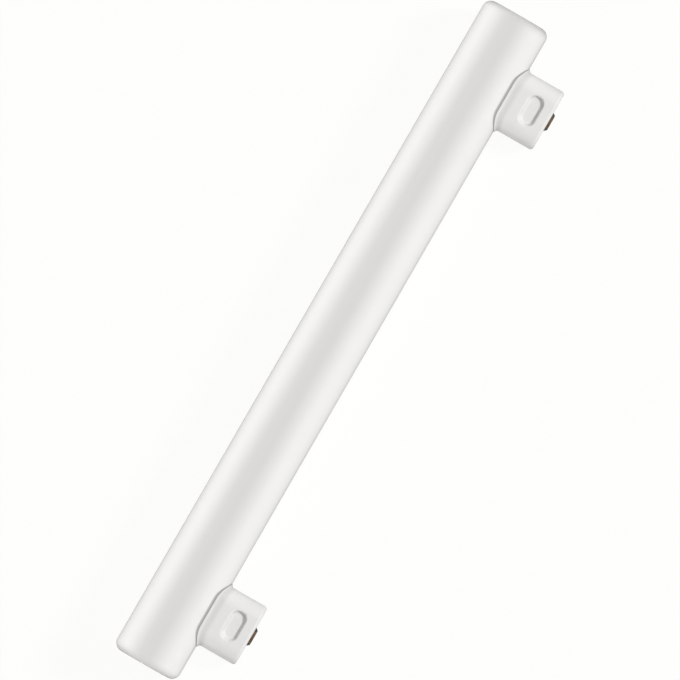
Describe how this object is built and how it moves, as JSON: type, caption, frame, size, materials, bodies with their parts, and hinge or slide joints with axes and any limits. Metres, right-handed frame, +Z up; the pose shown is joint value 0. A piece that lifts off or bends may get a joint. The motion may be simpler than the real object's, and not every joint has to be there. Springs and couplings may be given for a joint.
{
  "type": "tubular light bulb",
  "caption": "Straight sealed opal tube lamp with flat rounded ends and oblong side caps that carry flared saddles, latch pockets and brass button contacts, for mirror and cabinet strip lights.",
  "frame": {"origin": "middle of the lamp's box, on the surface that it lies on", "axes": "+X along the tube, -Y the side that the caps point to, dipping towards the surface, +Z up"},
  "size_m": [0.3, 0.047, 0.029],
  "materials": {
    "opal_glass": "smooth satin opal white, opaque",
    "white_moulding": "white moulded plastic with a soft satin sheen",
    "contact_brass": "dull browned brass",
    "lead_metal": "drawn nickel wire"
  },
  "bodies": {
    "root": {"envelope": "opal_glass", "cap_left": "white_moulding", "contact_left": "contact_brass", "lead_wire_left": "lead_metal", "cap_right": "white_moulding", "contact_right": "contact_brass", "lead_wire_right": "lead_metal"}
  },
  "joints": []
}
